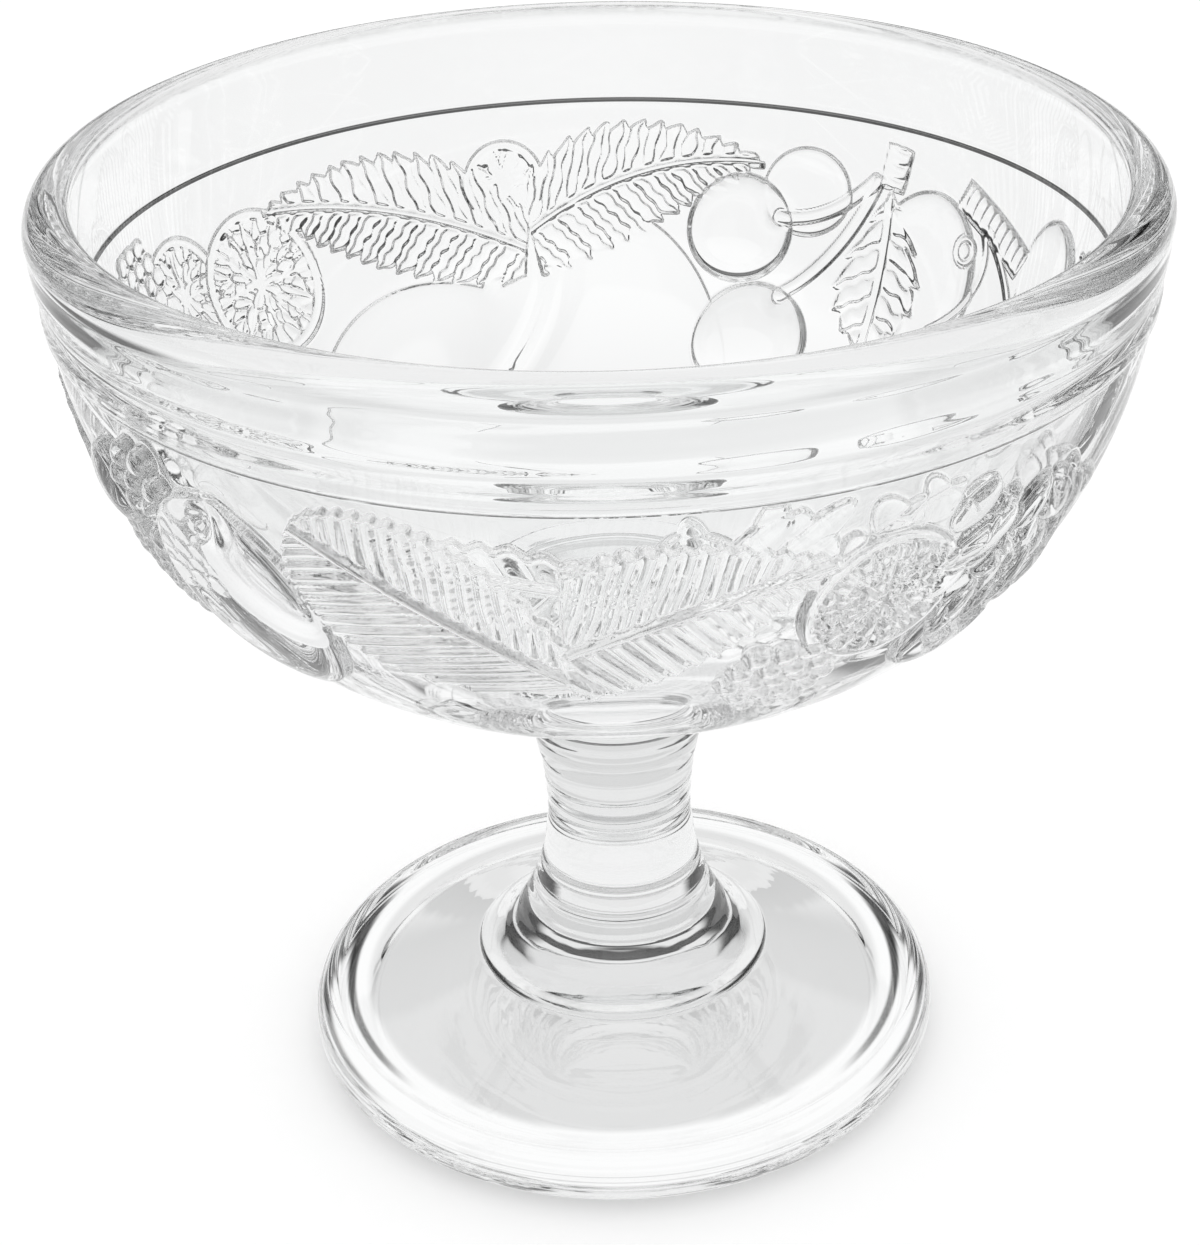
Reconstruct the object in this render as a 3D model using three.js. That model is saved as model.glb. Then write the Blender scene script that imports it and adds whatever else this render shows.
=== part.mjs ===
// Dessert glass: a footed coupe of clear pressed glass in three pieces fused while hot.
// The foot stands on the table, the waisted stem stands on the foot, and the bowl sits on the stem.
// Units are millimetres, +Z is up, and the origin is the centre of the foot on the table.

import * as THREE from 'three';

// Driving dimensions of the foot
const FOOT_RADIUS = 35;
const FOOT_HEIGHT = 10.5;
const FOOT_EDGE_ROUND = 3.3;
const FOOT_CROWN_ROUND = 1.45;
const FOOT_CROWN_START = 45;
const FOOT_CROWN_END = 125;
const FOOT_VALLEY_INSET = 1.85;
const FOOT_VALLEY_DEPTH = 1.3;
const FOOT_PLATE_INSET = 3.8;
const FOOT_PLATE_DROP = 0.6;
const FOOT_PLATE_SAG = 0.5;
const FOOT_REST_WIDTH = 3;
const FOOT_HOLLOW_DEPTH = 3;
const FOOT_HOLLOW_STEP = 0.8;

// Driving dimensions of the stem
const STEM_HEIGHT = 38.8;
const STEM_BASE_RADIUS = 16.2;
const STEM_WAIST_RADIUS = 7.9;
const STEM_WAIST_HEIGHT = 18.5;
const STEM_TOP_RADIUS = 14.5;
const STEM_TOE_ROUND = 0.9;
const STEM_TOE_ANGLE = 70;
const STEM_TOP_CORNER_DROP = 9.3;

// Driving dimensions of the bowl
const BOWL_HEIGHT = 52.9;
const RIM_RADIUS = 55;
const RIM_WALL = 4.6;
const LIP_OUTER_ROUND = 3.2;
const LIP_INNER_ROUND = 1.2;
const BAND_HEIGHT = 11.3;
const BAND_TAPER = 0.8;
const LEDGE_STEP = 0.9;
const LEDGE_DROP = 0.7;
const LEDGE_CORNER = 1.4;
const LEDGE_RISE = 2.6;
const FLOOR_THICKNESS = 4.5;
const BELLY_LOW_HANDLE = 25.8;
const BELLY_LOW_ANGLE = 11.5;
const BELLY_HIGH_HANDLE = 19.2;
const BELLY_HIGH_ANGLE = 82.3;
const INSIDE_SHOULDER_LIFT = 3.2;
const INSIDE_FLOOR_INSET = 6.3;

// Driving dimensions of the pressed relief on the belly
const RELIEF_DEPTH = 35;
const RELIEF_FADE = 3;
const FORM_STEP = 0.6;
const FORM_CARRY = 0.25;
const PEACH_HALF_WIDTH = 17.5;
const PEACH_HALF_HEIGHT = 16.5;
const PEACH_RISE = 0.9;
const APPLE_HALF_WIDTH = 8.5;
const APPLE_HALF_HEIGHT = 11.8;
const APPLE_RISE = 1.3;
const PEAR_HALF_WIDTH = 9.7;
const PEAR_HALF_HEIGHT = 12;
const PEAR_RISE = 1;
const PLUM_HALF_WIDTH = 7;
const PLUM_HALF_HEIGHT = 7.4;
const PLUM_RISE = 1.6;
const CHERRY_RADIUS = 4.8;
const CHERRY_RISE = 1.3;
const CLUSTER_RADIUS = 5;
const CLUSTER_RISE = 0.8;
const CITRUS_RADIUS = 8.8;
const SMALL_CITRUS_RADIUS = 7.4;
const TINY_CITRUS_RADIUS = 4.8;
const CITRUS_RISE = 0.35;
const CITRUS_RIND = 1.7;
const CITRUS_HOLLOW = 0.4;
const CITRUS_SEGMENTS = 8;
const LEAF_HALF_WIDTH = 7.2;
const SMALL_LEAF_HALF_WIDTH = 5.4;
const BROAD_LEAF_HALF_WIDTH = 8.2;
const DEEP_LEAF_HALF_WIDTH = 14;
const LEAF_RISE = 0.5;
const LEAF_TAPER = 0.75;
const LEAF_BLUNTNESS = 0.1;
const BROAD_LEAF_BLUNTNESS = 0.35;
const LEAF_MIDRIB_HALF_WIDTH = 1.5;
const LEAF_MIDRIB_RISE = 0.45;
const TWIG_HALF_WIDTH = 2.3;
const TWIG_RISE = 0.8;

// Facets
const BOWL_SEGMENTS = 132;
const STEM_SEGMENTS = 36;
const FOOT_SEGMENTS = 44;
const BELLY_STEPS = 4;
const RELIEF_STEPS = 24;
const LEDGE_STEPS = 2;
const INSIDE_STEPS = 8;
const ARC_STEP_DEGREES = 30;
const SMALL_ARC_STEP_DEGREES = 45;
const FLARE_STEPS = 6;
const PLATE_STEPS = 4;
const VALLEY_STEPS = 3;

// A point of a profile: x is the distance from the axis and y is the height.
const at = (radius, height) => new THREE.Vector2(radius, height);

// A point moved from another by a length along an angle from the horizontal.
function reach(from, length, degrees) {
  const angle = THREE.MathUtils.degToRad(degrees);
  return at(from.x + length * Math.cos(angle), from.y + length * Math.sin(angle));
}

// Points along a curve between two shares of its length, both ends included.
function stretch(curve, from, to, steps) {
  const points = [];
  for (let i = 0; i <= steps; i += 1) {
    points.push(curve.getPointAt(from + ((to - from) * i) / steps));
  }
  return points;
}

// Points of an arc round a centre, from one angle to another in degrees, both ends included.
function arc(centre, radius, fromDegrees, toDegrees, stepDegrees = ARC_STEP_DEGREES) {
  const steps = Math.ceil(Math.abs(toDegrees - fromDegrees) / stepDegrees);
  const points = [];
  for (let i = 0; i <= steps; i += 1) {
    points.push(reach(centre, radius, fromDegrees + ((toDegrees - fromDegrees) * i) / steps));
  }
  return points;
}

const clearGlass = () =>
  new THREE.MeshStandardMaterial({
    color: 0xeef2f2,
    roughness: 0.04,
    metalness: 0,
    transparent: true,
    opacity: 0.35,
  });

// A solid of revolution round +Z from a profile that starts and ends on the axis.
// What press does to the turned surface comes before it is stood up.
function turned(name, profile, segments, press = () => {}) {
  const geometry = new THREE.LatheGeometry(profile, segments);
  press(geometry.getAttribute('position'));
  geometry.rotateX(Math.PI / 2);
  geometry.computeVertexNormals();
  const mesh = new THREE.Mesh(geometry, clearGlass());
  mesh.name = name;
  return mesh;
}

// The foot: a sloping plate with a rolled edge, hollow below inside its resting ring,
// and a flat pad on top where the stem is fused.
function makeFoot() {
  const edgeCentre = at(FOOT_RADIUS - FOOT_EDGE_ROUND, FOOT_EDGE_ROUND);
  const edge = arc(edgeCentre, FOOT_EDGE_ROUND, -90, FOOT_CROWN_START);
  const crownCentre = reach(edge.at(-1), -FOOT_CROWN_ROUND, FOOT_CROWN_START);
  const crown = arc(crownCentre, FOOT_CROWN_ROUND, FOOT_CROWN_START, FOOT_CROWN_END);
  const crownEnd = crown.at(-1);
  const hollowRadius = edgeCentre.x - FOOT_REST_WIDTH;
  const hollow = new THREE.QuadraticBezierCurve(
    at(0, FOOT_HOLLOW_DEPTH),
    at(hollowRadius / 2, FOOT_HOLLOW_DEPTH),
    at(hollowRadius - FOOT_HOLLOW_STEP, FOOT_HOLLOW_STEP),
  );
  const pad = at(STEM_BASE_RADIUS, FOOT_HEIGHT);
  const plateEdge = at(crownEnd.x - FOOT_PLATE_INSET, crownEnd.y - FOOT_PLATE_DROP);
  const valley = new THREE.QuadraticBezierCurve(
    crownEnd,
    at(crownEnd.x - FOOT_VALLEY_INSET, crownEnd.y - FOOT_VALLEY_DEPTH),
    plateEdge,
  );
  const plate = new THREE.QuadraticBezierCurve(
    plateEdge,
    at((plateEdge.x + pad.x) / 2, (plateEdge.y + pad.y) / 2 - FOOT_PLATE_SAG),
    pad,
  );
  const profile = [
    ...hollow.getPoints(PLATE_STEPS),
    at(hollowRadius, 0),
    ...edge,
    ...crown.slice(1),
    ...valley.getPoints(VALLEY_STEPS).slice(1),
    ...plate.getPoints(PLATE_STEPS).slice(1),
    at(0, FOOT_HEIGHT),
  ];
  return turned('foot', profile, FOOT_SEGMENTS);
}

// The stem: solid, narrowest at its waist, flaring down to a rounded toe and up to the bowl.
function makeStem() {
  const waist = at(STEM_WAIST_RADIUS, STEM_WAIST_HEIGHT);
  const toe = arc(at(STEM_BASE_RADIUS - STEM_TOE_ROUND, 0), STEM_TOE_ROUND, 0, STEM_TOE_ANGLE);
  const toeEnd = toe.at(-1);
  const rise = (toeEnd.x - STEM_WAIST_RADIUS) / Math.tan(THREE.MathUtils.degToRad(STEM_TOE_ANGLE));
  const lower = new THREE.QuadraticBezierCurve(
    toeEnd,
    at(STEM_WAIST_RADIUS, toeEnd.y + rise),
    waist,
  );
  const upper = new THREE.QuadraticBezierCurve(
    waist,
    at(STEM_WAIST_RADIUS, STEM_HEIGHT - STEM_TOP_CORNER_DROP),
    at(STEM_TOP_RADIUS, STEM_HEIGHT),
  );
  const profile = [
    at(0, 0),
    ...toe,
    ...lower.getPoints(FLARE_STEPS).slice(1),
    ...upper.getPoints(FLARE_STEPS).slice(1),
    at(0, STEM_HEIGHT),
  ];
  return turned('stem', profile, STEM_SEGMENTS);
}

// A form of the relief is a function of a place on the belly, which gives the form's height there.
// A place has an azimuth in degrees, a drop below the ledge and its distance from the axis.

// How far a place lies to the right of a form's middle and above it, seen from outside the bowl,
// on axes turned by an angle.
function offset(place, azimuth, drop, turnDegrees = 0) {
  const sweep = THREE.MathUtils.euclideanModulo(place.azimuth - azimuth + 180, 360) - 180;
  const fromMiddle = at(THREE.MathUtils.degToRad(sweep) * place.radius, drop - place.drop);
  return fromMiddle.rotateAround(at(0, 0), -THREE.MathUtils.degToRad(turnDegrees));
}

// A swelling with a round or oval outline.
function plump(azimuth, drop, halfWidth, halfHeight, rise, turnDegrees = 0) {
  return (place) => {
    const from = offset(place, azimuth, drop, turnDegrees);
    const inside = 1 - (from.x / halfWidth) ** 2 - (from.y / halfHeight) ** 2;
    return inside > 0 ? FORM_STEP + rise * Math.sqrt(inside) : 0;
  };
}

const peach = (azimuth, drop) =>
  plump(azimuth, drop, PEACH_HALF_WIDTH, PEACH_HALF_HEIGHT, PEACH_RISE);
const apple = (azimuth, drop) =>
  plump(azimuth, drop, APPLE_HALF_WIDTH, APPLE_HALF_HEIGHT, APPLE_RISE);
const pear = (azimuth, drop, turnDegrees) =>
  plump(azimuth, drop, PEAR_HALF_WIDTH, PEAR_HALF_HEIGHT, PEAR_RISE, turnDegrees);
const plum = (azimuth, drop) => plump(azimuth, drop, PLUM_HALF_WIDTH, PLUM_HALF_HEIGHT, PLUM_RISE);
const cherry = (azimuth, drop) => plump(azimuth, drop, CHERRY_RADIUS, CHERRY_RADIUS, CHERRY_RISE);
const cluster = (azimuth, drop) => plump(azimuth, drop, CLUSTER_RADIUS, CLUSTER_RADIUS, CLUSTER_RISE);

// A cut citrus fruit: a raised rind round hollow segments that meet in the middle.
function citrus(azimuth, drop, radius) {
  return (place) => {
    const from = offset(place, azimuth, drop);
    const distance = from.length();
    if (distance > radius) {
      return 0;
    }
    const wall = Math.abs(Math.cos((from.angle() * CITRUS_SEGMENTS) / 2));
    const hollow = distance < radius - CITRUS_RIND ? CITRUS_HOLLOW * (1 - wall) : 0;
    return FORM_STEP + CITRUS_RISE - hollow;
  };
}

// A long form from its base to its tip: profile gives its height from the share of the length
// from the base and the distance above the middle line, below it when negative.
function laid(base, tip, profile) {
  const drop = (base.drop + tip.drop) / 2;
  const azimuth = (base.azimuth + tip.azimuth) / 2;
  return (place) => {
    const run = THREE.MathUtils.degToRad(tip.azimuth - base.azimuth) * place.radius;
    const axis = at(run, base.drop - tip.drop);
    const from = offset(place, azimuth, drop, THREE.MathUtils.radToDeg(axis.angle()));
    const share = from.x / axis.length() + 1 / 2;
    return share > 0 && share < 1 ? profile(share, Math.sign(run) * from.y) : 0;
  };
}

// A leaf: a pointed blade, thickest along its midrib, with its own half width above the midrib and
// below it. A blunt leaf starts part of the way along its outline.
function leaf(base, tip, above, below = above, bluntness = LEAF_BLUNTNESS) {
  return laid(base, tip, (share, up) => {
    const along = (bluntness + (1 - bluntness) * share) ** LEAF_TAPER;
    const width = (up > 0 ? above : below) * Math.sin(Math.PI * along);
    const aside = Math.abs(up);
    if (aside > width) {
      return 0;
    }
    const midrib = Math.max(0, 1 - aside / LEAF_MIDRIB_HALF_WIDTH);
    return FORM_STEP + LEAF_RISE * (1 - aside / width) + LEAF_MIDRIB_RISE * midrib;
  });
}

// A short cut twig: a round bar.
function twig(base, tip) {
  return laid(base, tip, (share, up) => {
    const inside = 1 - (up / TWIG_HALF_WIDTH) ** 2;
    return inside > 0 ? FORM_STEP + TWIG_RISE * Math.sqrt(inside) : 0;
  });
}

const spot = (azimuth, drop) => ({ azimuth, drop });

// The garland round the belly, by azimuth from +X and drop below the ledge, lowest layer first
const garland = [
  // Back wall
  peach(92, 31),
  peach(118, 37),
  citrus(103, 9.4, TINY_CITRUS_RADIUS),
  citrus(155.5, 12, SMALL_CITRUS_RADIUS),
  citrus(141.4, 14.5, CITRUS_RADIUS),
  cluster(164.5, 8),
  leaf(spot(99.5, 13.5), spot(68.1, 6), LEAF_HALF_WIDTH),
  leaf(spot(101.5, 16), spot(138.1, 6.2), LEAF_HALF_WIDTH),
  cherry(62, 9.8),
  plum(70.9, 15),
  plum(66.7, 28.3),
  apple(42.5, 17.5),
  leaf(spot(50.3, 7.2), spot(47.5, 30), SMALL_LEAF_HALF_WIDTH),
  twig(spot(39, 5), spot(24.6, 10.2)),
  cluster(36, 24),
  plum(18.5, 10.5),
  // Left side
  leaf(spot(200, 16), spot(172, 6), SMALL_LEAF_HALF_WIDTH),
  plum(178, 22),
  plum(196, 25),
  cluster(203, 8),
  cherry(212.5, 8.5),
  cluster(214, 18),
  // Front wall
  citrus(297, 13.2, SMALL_CITRUS_RADIUS),
  leaf(spot(266.5, 21), spot(239, 4.2), BROAD_LEAF_HALF_WIDTH, DEEP_LEAF_HALF_WIDTH),
  leaf(spot(266.5, 15.6), spot(291.5, 7.4), BROAD_LEAF_HALF_WIDTH, LEAF_HALF_WIDTH, BROAD_LEAF_BLUNTNESS),
  cluster(287.5, 22.5),
  peach(259, 37),
  peach(274, 38),
  cluster(219.5, 5.5),
  pear(229, 16.4, 6),
  // Right side
  cherry(306, 9.6),
  leaf(spot(318, 7), spot(336, 20), SMALL_LEAF_HALF_WIDTH),
  cluster(315, 8.3),
  plum(308, 20.5),
  citrus(341, 12, SMALL_CITRUS_RADIUS),
  plum(356, 20),
  leaf(spot(346, 14), spot(368, 5), SMALL_LEAF_HALF_WIDTH),
];

// Height of the relief at a place. Each form lies over those before it and carries a share of
// their height, and the whole dies away at the foot of the garland.
function reliefHeight(place) {
  const fade = THREE.MathUtils.clamp((RELIEF_DEPTH - place.drop) / RELIEF_FADE, 0, 1);
  const layer = (below, form) => {
    const own = form(place);
    return own > 0 ? own + FORM_CARRY * below : below;
  };
  return fade * garland.reduce(layer, 0);
}

// Presses the garland out of a turned surface, along the belly's outward normals. Belly rows are
// listed by their place in the profile, and the surface still has its axis along Y.
function pressGarland(position, bellyRows, rowCount) {
  for (let i = 0; i < position.count; i += 1) {
    const row = bellyRows.get(i % rowCount);
    if (row !== undefined) {
      const turn = (360 / BOWL_SEGMENTS) * (Math.floor(i / rowCount) % BOWL_SEGMENTS);
      const place = { azimuth: turn - 90, drop: row.drop, radius: row.point.x };
      const pressed = row.point.clone().addScaledVector(row.outward, reliefHeight(place));
      const angle = THREE.MathUtils.degToRad(turn);
      position.setXYZ(i, pressed.x * Math.sin(angle), pressed.y, pressed.x * Math.cos(angle));
    }
  }
}

// The bowl: a round belly with the garland on it from the stem's top up to a ledge, a plain band
// above it, a rounded lip, and a smooth inside.
function makeBowl() {
  const bellyStart = at(STEM_TOP_RADIUS, 0);
  const bellyEnd = at(RIM_RADIUS - BAND_TAPER - LEDGE_STEP, BOWL_HEIGHT - BAND_HEIGHT - LEDGE_DROP);
  const bellyLow = reach(bellyStart, BELLY_LOW_HANDLE, BELLY_LOW_ANGLE);
  const bellyHigh = reach(bellyEnd, -BELLY_HIGH_HANDLE, BELLY_HIGH_ANGLE);
  const belly = new THREE.CubicBezierCurve(bellyStart, bellyLow, bellyHigh, bellyEnd);
  const bellyLength = belly.getLength();
  const reliefStart = 1 - RELIEF_DEPTH / bellyLength;
  const plain = stretch(belly, 0, reliefStart, BELLY_STEPS);
  const relief = stretch(belly, reliefStart, 1, RELIEF_STEPS);
  const ledge = new THREE.QuadraticBezierCurve(
    bellyEnd,
    at(bellyEnd.x + LEDGE_STEP, bellyEnd.y + LEDGE_CORNER),
    at(bellyEnd.x + LEDGE_STEP, bellyEnd.y + LEDGE_RISE),
  );
  const lipOuter = at(RIM_RADIUS - LIP_OUTER_ROUND, BOWL_HEIGHT - LIP_OUTER_ROUND);
  const insideRadius = RIM_RADIUS - RIM_WALL;
  const lipInner = at(insideRadius + LIP_INNER_ROUND, BOWL_HEIGHT - LIP_INNER_ROUND);
  const inside = new THREE.CubicBezierCurve(
    at(insideRadius, lipInner.y),
    at(insideRadius, bellyHigh.y + INSIDE_SHOULDER_LIFT),
    at(bellyLow.x - INSIDE_FLOOR_INSET, FLOOR_THICKNESS),
    at(0, FLOOR_THICKNESS),
  );
  const profile = [
    at(0, 0),
    ...plain,
    ...relief.slice(1),
    ...ledge.getPoints(LEDGE_STEPS).slice(1),
    ...arc(lipOuter, LIP_OUTER_ROUND, 0, 90),
    ...arc(lipInner, LIP_INNER_ROUND, 90, 180, SMALL_ARC_STEP_DEGREES),
    ...inside.getSpacedPoints(INSIDE_STEPS).slice(1),
  ];
  const bellyRows = new Map();
  relief.forEach((point, i) => {
    const share = THREE.MathUtils.lerp(reliefStart, 1, i / RELIEF_STEPS);
    const along = belly.getTangentAt(share);
    const drop = LEDGE_DROP + (1 - share) * bellyLength;
    bellyRows.set(plain.length + i, { point, drop, outward: at(along.y, -along.x) });
  });
  const press = (position) => pressGarland(position, bellyRows, profile.length);
  return turned('bowl', profile, BOWL_SEGMENTS, press);
}

// Each piece is modelled with its own underside at height zero and stacked on the one below.
const foot = makeFoot();
const stem = makeStem();
stem.position.z = FOOT_HEIGHT;
const bowl = makeBowl();
bowl.position.z = FOOT_HEIGHT + STEM_HEIGHT;

const dessertGlass = new THREE.Group();
dessertGlass.name = 'dessert_glass';
dessertGlass.add(foot, stem, bowl);

export default dessertGlass;
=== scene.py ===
"""Looks of the dessert glass: clear pressed glass with a fruit-and-leaf relief, on a white floor."""

import math

import bpy
import numpy as np
from mathutils import Matrix, Vector


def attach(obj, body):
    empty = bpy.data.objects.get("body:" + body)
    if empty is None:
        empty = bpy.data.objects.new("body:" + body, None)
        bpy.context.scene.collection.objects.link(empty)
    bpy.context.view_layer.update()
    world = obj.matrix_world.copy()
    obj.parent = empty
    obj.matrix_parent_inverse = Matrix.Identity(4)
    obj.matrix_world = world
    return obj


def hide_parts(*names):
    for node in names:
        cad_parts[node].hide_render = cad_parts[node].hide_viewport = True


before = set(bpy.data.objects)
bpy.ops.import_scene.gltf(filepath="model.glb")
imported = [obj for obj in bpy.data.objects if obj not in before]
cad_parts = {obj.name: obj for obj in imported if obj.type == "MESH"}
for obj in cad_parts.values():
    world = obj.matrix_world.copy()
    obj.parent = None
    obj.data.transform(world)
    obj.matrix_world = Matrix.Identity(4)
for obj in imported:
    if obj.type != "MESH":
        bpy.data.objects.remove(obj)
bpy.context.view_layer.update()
MM = 0.001

# Sizes of the glass in millimetres, as the solids have them but for a finer ledge and a fuller flare
FOOT_RADIUS = 35.0
FOOT_HEIGHT = 10.5
FOOT_EDGE_ROUND = 3.3
FOOT_CROWN_ROUND = 1.45
FOOT_CROWN_START = 45.0
FOOT_CROWN_END = 125.0
FOOT_VALLEY_INSET = 1.85
FOOT_VALLEY_DEPTH = 1.3
FOOT_PLATE_INSET = 3.8
FOOT_PLATE_DROP = 0.6
FOOT_PLATE_SAG = 0.5
FOOT_REST_WIDTH = 3.0
FOOT_HOLLOW_DEPTH = 3.0
FOOT_HOLLOW_STEP = 0.8
STEM_HEIGHT = 38.8
STEM_BASE_RADIUS = 16.2
STEM_WAIST_RADIUS = 7.9
STEM_WAIST_HEIGHT = 18.5
STEM_TOP_RADIUS = 14.5
STEM_TOE_ROUND = 0.9
STEM_TOE_ANGLE = 70.0
FLARE_LOW_HANDLE = 0.55
FLARE_HIGH_HANDLE = 8.1
STEM_TOP_CORNER_DROP = 9.3
BOWL_HEIGHT = 52.9
RIM_RADIUS = 55.0
RIM_WALL = 4.6
LIP_OUTER_ROUND = 3.2
LIP_INNER_ROUND = 1.2
BAND_HEIGHT = 11.3
BAND_TAPER = 0.8
LEDGE_TILT = 40.0
LEDGE_DROP = 0.7
LEDGE_FLAT = 0.3
LEDGE_ROUND = 1.3
FLOOR_THICKNESS = 4.5
BELLY_LOW_HANDLE = 25.8
BELLY_LOW_ANGLE = 11.5
BELLY_HIGH_HANDLE = 19.2
BELLY_HIGH_ANGLE = 82.3
INSIDE_SHOULDER_LIFT = 3.2
INSIDE_FLOOR_INSET = 6.3
JOINT_GAP = 0.002
STEM_Z = FOOT_HEIGHT
BOWL_Z = FOOT_HEIGHT + STEM_HEIGHT

# Fineness of the meshes
COLUMNS = 2000
PLAIN_COLUMNS = 480
RELIEF_ROW = 0.16
RELIEF_DEPTH = 42.0
RELIEF_FADE = 9.0
EDGE_WIDTH = 0.26
SMOOTH_ROW = 2.4
BAND_ROW = 0.25
STEM_ROW = 0.2
BELLY_STEPS = 600
INSIDE_STEPS = 400
STEM_STEPS = 200

# Faint marks that the press and the tools leave, in millimetres, or degrees round the foot's edge
PRESS_LINES = 14
PRESS_LINE_DEPTH = (0.05, 0.18)
PRESS_LINE_WIDTH = (0.5, 1.1)
PRESS_LINE_DRIFT = 0.6
STEM_RING_START = 2.5
STEM_RING_PITCH = 1.5
STEM_RING_SHIFT = 0.6
STEM_RING_DEPTH = (0.02, 0.13)
STEM_RING_WIDTH = (0.3, 0.8)
FOOT_DENT_START = -70.0
FOOT_DENT_PITCH = 13.0
FOOT_DENT_SHIFT = 4.0
FOOT_DENT_DEPTH = (0.02, 0.07)
FOOT_DENT_WIDTH = (3.0, 5.0)


def reach(start, length, degrees):
    """The point at a length along an angle from the horizontal."""
    angle = math.radians(degrees)
    return np.array([start[0] + length * math.cos(angle), start[1] + length * math.sin(angle)])


def bezier(points, steps):
    """Points along a Bezier curve of any degree, as rows of (radius, height)."""
    t = np.linspace(0.0, 1.0, steps + 1)[:, None]
    level = [np.asarray(p, float)[None, :] + 0.0 * t for p in points]
    while len(level) > 1:
        level = [(1 - t) * a + t * b for a, b in zip(level, level[1:])]
    return level[0]


def arc(centre, radius, start, end, steps):
    """Points of an arc in degrees, both ends included."""
    angles = np.radians(np.linspace(start, end, steps + 1))
    return np.stack([centre[0] + radius * np.cos(angles), centre[1] + radius * np.sin(angles)], 1)


def along(points):
    """Length along a row of points, from its first point."""
    return np.concatenate([[0.0], np.cumsum(np.hypot(*np.diff(points, axis=0).T))])


def evenly(points, spacing):
    """The same curve with points a spacing apart."""
    length = along(points)
    count = max(2, int(round(length[-1] / spacing)) + 1)
    where = np.linspace(0.0, length[-1], count)
    return np.stack([np.interp(where, length, points[:, k]) for k in (0, 1)], 1)


# Relief of the bowl

class Relief:
    """Height of the pressed relief over the belly, on a grid of azimuth and drop below the ledge."""

    def __init__(self, drop, radius):
        self.azimuth = np.linspace(0.0, 360.0, COLUMNS, endpoint=False)[None, :]
        self.drop = drop[:, None]
        self.radius = radius[:, None]
        self.height = np.zeros((len(drop), COLUMNS))

    def local(self, azimuth, drop, turn=0.0):
        """Millimetres to the right and up from a place, seen from outside, turned by an angle."""
        sweep = (self.azimuth - azimuth + 180.0) % 360.0 - 180.0
        right = np.radians(sweep) * self.radius
        up = drop - self.drop + 0.0 * right
        c, s = math.cos(math.radians(turn)), math.sin(math.radians(turn))
        return c * right + s * up, -s * right + c * up

    def lay(self, edge, top, carry=0.3):
        """Lays a form over what is there: edge is the distance inside its outline."""
        cover = np.clip(edge / EDGE_WIDTH + 0.5, 0.0, 1.0)
        self.height = self.height * (1 - cover) + cover * (top + carry * self.height)

    def lengthwise(self, tip, base):
        """Millimetres along and across a form from base to tip, its length and its run to the right."""
        scale = np.interp((tip[1] + base[1]) / 2, self.drop[:, 0], self.radius[:, 0])
        run = math.radians(tip[0] - base[0]) * scale
        climb = base[1] - tip[1]
        middle = ((tip[0] + base[0]) / 2, (tip[1] + base[1]) / 2)
        u, v = self.local(*middle, turn=math.degrees(math.atan2(climb, run)))
        return u, v, math.hypot(run, climb), run

    def ridge(self, places, width, rise):
        """A rounded cord along a curve through places of (azimuth, drop)."""
        middle = places[len(places) // 2]
        u, v = self.local(*middle)
        scale = np.interp(middle[1], self.drop[:, 0], self.radius[:, 0])
        line = [(math.radians(a - middle[0]) * scale, middle[1] - d) for a, d in places]
        line = bezier(line, 24)
        distance = np.full(u.shape, 1e9)
        for a, b in zip(line, line[1:]):
            step = b - a
            t = np.clip(((u - a[0]) * step[0] + (v - a[1]) * step[1]) / (step @ step), 0.0, 1.0)
            distance = np.minimum(distance, np.hypot(u - a[0] - t * step[0], v - a[1] - t * step[1]))
        inside = np.clip(1 - (distance / width) ** 2, 0.0, 1.0)
        self.lay(width - distance, rise * np.sqrt(inside), 0.6)


def fruit(relief, azimuth, drop, across, tall, rise, turn=0.0, lift=0.35, carry=0.25, flat=2):
    """A smooth rounded fruit; flat above 2 gives it a flatter face."""
    u, v = relief.local(azimuth, drop, turn)
    rho = np.hypot(u / across, v / tall)
    top = lift + rise * np.sqrt(np.clip(1 - rho**flat, 0.0, 1.0))
    relief.lay((1 - rho) * min(across, tall), top, carry)


def dimple(relief, azimuth, drop, across, deep):
    """A soft hollow, such as the one where a stalk sits."""
    u, v = relief.local(azimuth, drop)
    relief.height = relief.height - deep * np.exp(-(u**2 + v**2) / across**2)


def leaf(relief, tip, base, half_width, bend, ribs, widest=0.8, blunt=0.0):
    """A toothed leaf from its base to its tip, with a midrib and raised side veins.

    blunt starts the outline part of the way along."""
    lift, sweep = 0.3, 0.55
    u, v, length, run = relief.lengthwise(tip, base)
    t = np.clip(u / length + 0.5, 0.0, 1.0)
    upward = 1.0 if run > 0 else -1.0
    v = v * upward - bend * (1 - (2 * t - 1) ** 2)
    width = half_width * np.sin(math.pi * (blunt + (1 - blunt) * t) ** widest) ** 0.85
    pitch = length / ribs
    from_base = u + length / 2
    shift = 0.4 * (v > 0) + 0.06 * np.sin(1.9 * from_base + 0.7 * v)
    shift = shift + 0.05 * np.sin(1.3 * from_base - 2.7 * v)
    phase = (from_base - sweep * np.abs(v)) / pitch + shift
    vein = np.sqrt(np.clip(1 - ((phase % 1.0 - 0.5) / 0.33) ** 2, 0.0, 1.0))
    tooth = ((from_base - sweep * width) / pitch + shift) % 1.0
    edge = np.minimum(width + 1.2 * (tooth - 0.5) - np.abs(v), length / 2 - np.abs(u))
    across = np.clip(np.abs(v) / np.maximum(width, 0.3), 0.0, 1.0)
    top = lift + 0.5 * vein * np.clip((np.abs(v) - 0.5) / 0.4, 0.0, 1.0) + 0.25 * (1 - across**2)
    top = top + 0.5 * np.exp(-((v / 0.42) ** 2))
    relief.lay(edge, top, 0.2)


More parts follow.
